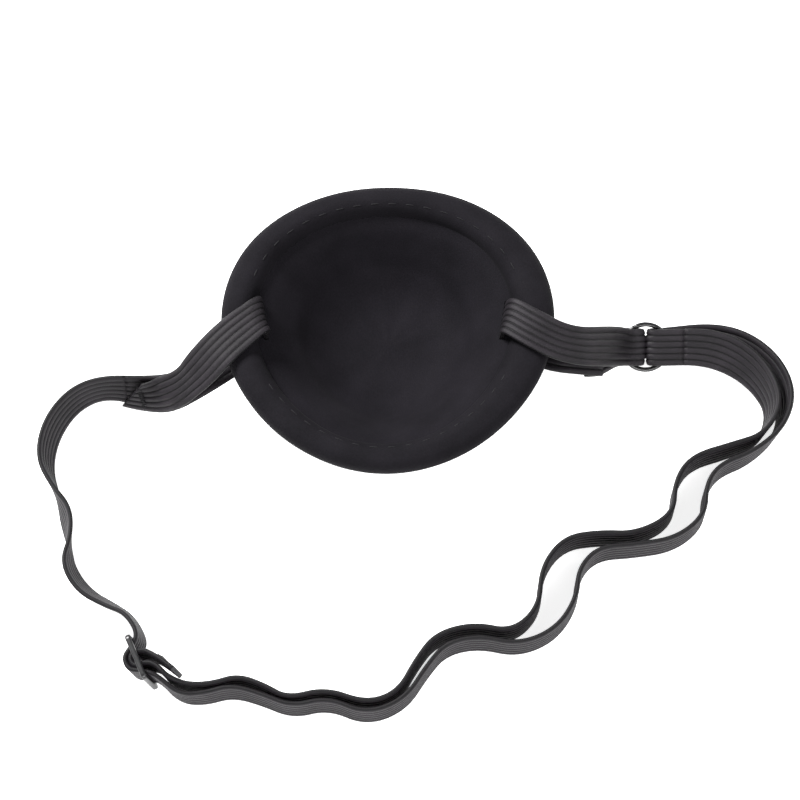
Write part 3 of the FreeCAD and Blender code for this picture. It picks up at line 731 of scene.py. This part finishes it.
def bartack(name, route, share, side, surface):
    """A dense zigzag of thread across the band, on one of its faces."""
    (start, first_across), (end, last_across) = route
    run = (end - start).normalized()
    across = first_across * (1 - share) + last_across * share
    across = (across - run * across.dot(run)).normalized()
    out = run.cross(across) * side
    middle = start + (end - start) * share + out * (STRAP_THICK / 2 + 0.08 * MM)
    wide, long, strokes = 7.6 * MM, 1.3 * MM, 22
    line = []
    for stroke in range(strokes + 1):
        step = (stroke / strokes - 0.5) * wide
        swing = (0.5 if stroke % 2 else -0.5) * long
        for lift in (-0.10 * MM, 0.10 * MM):
            line.append(middle + across * step + run * swing + out * lift)
    return sewn(name, [line], 0.16 * MM, surface)


# ------------------------------------------------------------------ the patch

ANGLES = 2 * math.pi * np.arange(AROUND) / AROUND
OUTLINE = (MEAN_RADIUS + 1.0 * MM * np.sin(ANGLES) + 1.45 * MM * np.cos(2 * ANGLES)
           + 0.2 * MM * np.sin(2 * ANGLES) + 0.9 * MM * np.sin(3 * ANGLES))
INSET = SEAM_INSET + 0.9 * MM * np.cos(ANGLES) + 1.05 * MM * np.cos(2 * ANGLES)
SEAM = OUTLINE - INSET


def unevenness(angles, heights, seed, scale):
    """A slow seeded ripple over the patch, from -1 to 1, as soft cloth has."""
    draw = np.random.default_rng(seed)
    total = np.zeros(np.broadcast(angles, heights).shape)
    for _ in range(9):
        turns = draw.integers(2, 11)
        rise = draw.uniform(-1.0, 1.0) * scale
        start = draw.uniform(0, 2 * math.pi)
        total += np.sin(turns * angles + rise * heights + start) * draw.uniform(0.5, 1.0)
    return total / 5


def dish_surface(shares, depth):
    """Rows of points on the dish, at shares of the way from the seam to the middle, at a depth outwards."""
    rows = smooth_table(DISH, shares)
    floor = DISH[-1][2]
    grid = np.zeros((len(rows), AROUND, 3))
    for index, (across, along, height, level, down) in enumerate(rows):
        drop = (SEAM_HEIGHT - height) / (SEAM_HEIGHT - floor)
        length = max(math.hypot(level, down), 1e-6)
        out = depth * level / length
        grid[index, :, 0] = (across * SEAM + out) * np.cos(ANGLES)
        grid[index, :, 1] = (along * SEAM + out) * np.sin(ANGLES) + DOME_SHIFT * drop
        grid[index, :, 2] = height - depth * down / length
    return grid


def close_cup(inner, outer):
    """Vertices and faces of a closed cup between two surfaces that both end near the middle."""
    rows = len(inner)
    vertices = np.concatenate([inner[::-1].reshape(-1, 3), outer.reshape(-1, 3)])
    faces = rolled_grid(2 * rows, AROUND, False)
    first = len(vertices)
    centres = [inner[-1].mean(0), outer[-1].mean(0)]
    vertices = np.concatenate([vertices, centres])
    last_row = (2 * rows - 1) * AROUND
    for column in range(AROUND):
        after = (column + 1) % AROUND
        faces.append((first, after, column))
        faces.append((first + 1, last_row + column, last_row + after))
    return vertices, faces


def make_lining(surface):
    """The lining: a thin moulded cup whose face ripples slightly and puckers beside the seam."""
    shares = np.concatenate([np.linspace(0, 0.12, 10)[:-1], np.linspace(0.12, 0.97, 54)])
    inner = dish_surface(shares, 0.0)
    outer = dish_surface(shares, LINING_THICK)
    fade = np.clip(shares / 0.08, 0, 1)[:, None] * np.clip((0.99 - shares) / 0.5, 0, 1)[:, None]
    ripple = unevenness(ANGLES[None, :], shares[:, None] * 9, 4, 1.0) * fade * 0.16 * MM
    inner[:, :, 2] += ripple
    outer[:, :, 2] += ripple
    vertices, faces = close_cup(inner, outer)
    piece = add_object("lining_cup", vertices, faces, surface)
    outward(piece)
    return piece


def make_cover(surface):
    """The foam-backed cover: the dome's outside, closed against the back of the lining."""
    shares = np.linspace(0, 0.97, 56)
    inner = dish_surface(shares, LINING_THICK + 0.02 * MM)
    outer = dish_surface(shares, SHELL_THICK)
    fade = np.clip((0.8 - shares) / 0.6, 0, 1)[:, None]
    ripple = unevenness(ANGLES[None, :], shares[:, None] * 8, 7, 1.0) * fade
    outer[:, :, 2] += ripple * 0.12 * MM
    vertices, faces = close_cup(inner, outer)
    piece = add_object("dome_cover", vertices, faces, surface)
    outward(piece)
    return piece


# The rim's section, round once: the share of the seam's inset, and the height.
RIM_SECTION = [
    (1.00, 0.0192), (0.985, 0.0203), (0.95, 0.0212), (0.88, 0.0221), (0.80, 0.0227), (0.68, 0.0232),
    (0.55, 0.0234), (0.38, 0.0233), (0.24, 0.0230), (0.13, 0.0224), (0.05, 0.0216), (0.01, 0.0207),
    (0.00, 0.0198), (0.02, 0.0189), (0.07, 0.0181), (0.15, 0.0175), (0.27, 0.0171), (0.42, 0.0170),
    (0.56, 0.0172), (0.68, 0.0178), (0.82, 0.0186),
]


def make_rim(surface):
    """The padded rim: a soft roll whose inner slope dips between the stitches."""
    count = 60
    table = RIM_SECTION + RIM_SECTION[:1]
    rows = smooth_table(table, np.arange(count) / count)
    share, height = rows[:, 0:1], rows[:, 1:2]
    seam_side = np.clip((share - 0.55) / 0.3, 0, 1) * (height > 0.0200)
    stitches = round(2 * math.pi * (MEAN_RADIUS - STITCH_PLACE * SEAM_INSET) / STITCH_PITCH)
    pucker = seam_side * (0.5 + 0.5 * np.cos(stitches * ANGLES[None, :])) * 0.10 * MM
    ripple = unevenness(ANGLES[None, :], share * 4, 11, 1.0)
    radius = OUTLINE[None, :] - share * INSET[None, :] + ripple * 0.10 * MM * (height > 0.0185)
    level = height - pucker + ripple * 0.10 * MM * np.clip((height - 0.0185) / 0.003, 0, 1)
    level = np.broadcast_to(level, radius.shape)
    grid = np.stack([radius * np.cos(ANGLES), radius * np.sin(ANGLES), level], axis=2)
    piece = add_object("padded_rim", grid.reshape(-1, 3), rolled_grid(count, AROUND, True), surface)
    outward(piece)
    return piece


def make_topstitching(surface):
    """Single stitches along the rim's inner slope, left out where the strap covers it."""
    height = 0.02300
    count = round(2 * math.pi * (MEAN_RADIUS - STITCH_PLACE * SEAM_INSET) / STITCH_PITCH)
    line = OUTLINE - STITCH_PLACE * INSET
    around = np.append(ANGLES, 2 * math.pi)
    line_round = np.append(line, line[0])
    runs = []
    for stitch in range(count):
        angle = 2 * math.pi * (stitch + 0.5) / count
        turns = angle + np.linspace(-0.5, 0.5, 7) * 2.2 * MM / float(np.mean(line))
        radius = np.interp(turns, around, line_round, period=2 * math.pi)
        x, y = radius * np.cos(turns), radius * np.sin(turns)
        if abs(y[3]) < 13 * MM and abs(x[3]) > MEAN_RADIUS / 2:
            continue
        sink = 0.10 * MM * np.linspace(-1, 1, 7) ** 2
        runs.append(np.stack([x, y, height - sink], axis=1))
    return sewn("rim_stitches", runs, 0.15 * MM, surface)


def cut_slots(piece, slots):
    """Cuts the strap's two slots through a piece."""
    for cutter in slots:
        modifier = piece.modifiers.new("slot", "BOOLEAN")
        modifier.operation = "DIFFERENCE"
        modifier.solver = "EXACT"
        modifier.object = cutter
    bpy.context.view_layer.update()
    whole = bpy.data.meshes.new_from_object(piece.evaluated_get(bpy.context.evaluated_depsgraph_get()))
    piece.modifiers.clear()
    piece.data = whole
    whole.polygons.foreach_set("use_smooth", [True] * len(whole.polygons))


def make_slot_cutters():
    """Two round-ended prisms where the slots are."""
    long, wide, steps = 10.4 * MM, 1.1 * MM, 10
    cutters = []
    for name, x, slant in (("left", -0.0306, 9.7), ("right", 0.0286, -9.7)):
        turn = math.radians(slant)
        outline = []
        for end in (1, -1):
            for step in range(steps + 1):
                angle = math.pi * step / steps + (0 if end > 0 else math.pi)
                across = wide / 2 * math.cos(angle)
                along = end * (long - wide) / 2 + wide / 2 * math.sin(angle)
                outline.append((x + across * math.cos(turn) - along * math.sin(turn),
                                0.0028 + across * math.sin(turn) + along * math.cos(turn)))
        count = len(outline)
        vertices = [(*point, z) for z in (0.010, 0.030) for point in outline]
        faces = rolled_grid(2, count, False) + [tuple(range(count)), tuple(reversed(range(count, 2 * count)))]
        cutter = add_object(f"slot_cutter_{name}", vertices, faces, bpy.data.materials.new("unused"), False)
        outward(cutter)
        cutters.append(cutter)
    return cutters


# ------------------------------------------------------------------ the whole

add_camera()
add_studio()

elastic = elastic_surface()
lining_knit = knit_surface("lining_knit", (0.0026, 0.0022, 0.0034), (0.0086, 0.0074, 0.0102), 0.82)
rim_knit = knit_surface("rim_knit", (0.0028, 0.0024, 0.0035), (0.0088, 0.0077, 0.0102), 0.84)
cover_knit = knit_surface("cover_knit", (0.0026, 0.0022, 0.0034), (0.0086, 0.0074, 0.0102), 0.86)
ring_plastic = plastic_surface("ring_plastic", 0.26)
slide_plastic = plastic_surface("slide_plastic", 0.34)
thread = thread_surface()

bands = make_straps(elastic)
dress_straps(bands)

round_ring = make_ring(ring_plastic)
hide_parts("o_ring")
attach(round_ring, "o_ring")
slide = make_slide(slide_plastic)
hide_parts("adjuster_slide")
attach(slide, "slide")

left_tack = bartack("left_tack", given(LEFT_LOOP[:2]), 0.5, 1, thread)
anchor_tack = bartack("anchor_tack", given(ANCHOR_RETURN[-2:]), 0.6, 1, thread)
end_tack = bartack("strap_end_tack", by_slide(END_RETURN[:2]), 0.6, -1, thread)
for tack, node, bend_like in ((left_tack, "left_bartack", at_left_slot),
                              (anchor_tack, "anchor_bartack", at_right_slot),
                              (end_tack, "strap_end_bartack", before_slide)):
    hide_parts(node)
    bend_like(tack)

cutters = make_slot_cutters()
lining = make_lining(lining_knit)
cover = make_cover(cover_knit)
rim = make_rim(rim_knit)
for piece in (lining, cover):
    cut_slots(piece, cutters)
for cutter in cutters:
    bpy.data.objects.remove(cutter)
stitches = make_topstitching(thread)
for piece, nodes, slot in ((lining, ["inner_lining"], "lining_fabric"),
                           (cover, ["outer_cover", "foam_core"], "cover_fabric"),
                           (rim, ["rim_binding", "rim_padding"], "rim_fabric"),
                           (stitches, ["rim_topstitching"], "thread")):
    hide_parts(*nodes)
    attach(piece, "patch")
